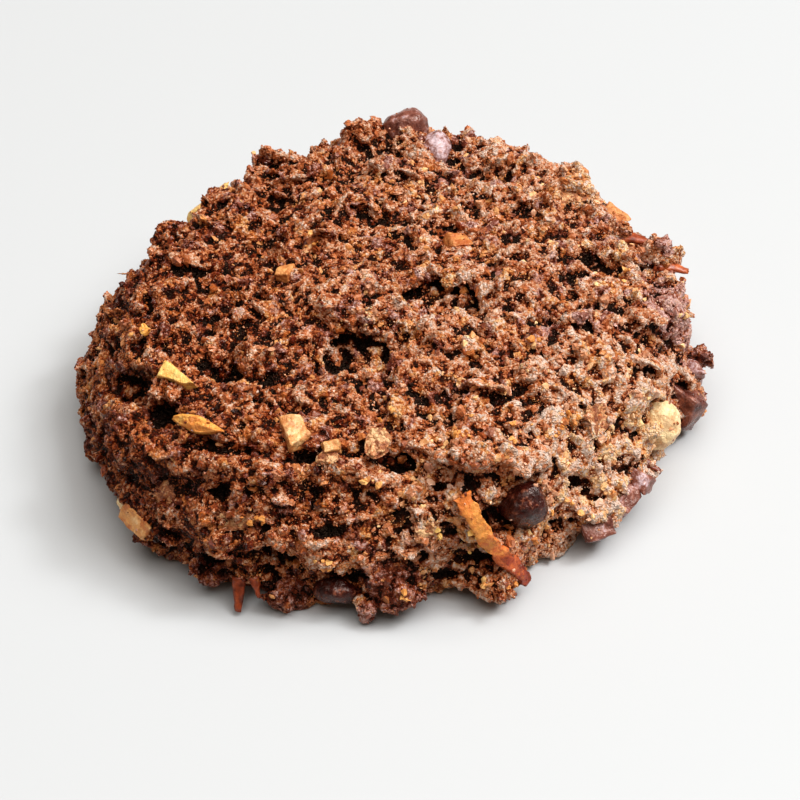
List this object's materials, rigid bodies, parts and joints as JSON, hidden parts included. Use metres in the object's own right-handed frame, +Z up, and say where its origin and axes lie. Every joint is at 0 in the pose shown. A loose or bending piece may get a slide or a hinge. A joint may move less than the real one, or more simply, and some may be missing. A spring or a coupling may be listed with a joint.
{
  "type": "oatmeal cookie",
  "caption": "Thick round craggy chocolate oatmeal cookie with chocolate pieces, nut chunks, almond slivers, oat flakes and toasted coconut.",
  "frame": {"origin": "middle of the flat underside, on the surface that the cookie rests on", "axes": "+Z up out of the top, -Y towards the side with the coconut strip and the whole chocolate chip, +X to the right seen from there"},
  "size_m": [0.0752, 0.0746, 0.0194],
  "materials": {
    "baked_dough": "dark brown baked cocoa dough, rough open crumb, matt with small oily glints on the grain",
    "chocolate": "dark chocolate, smooth with a satin sheen",
    "nut": "toasted nut and almond, pale tan to golden, matt",
    "oat": "toasted oat flakes and pale crumbs, matt",
    "coconut": "toasted coconut, orange to red-brown, satin"
  },
  "bodies": {
    "root": {"cookie": "baked_dough"}
  },
  "joints": []
}
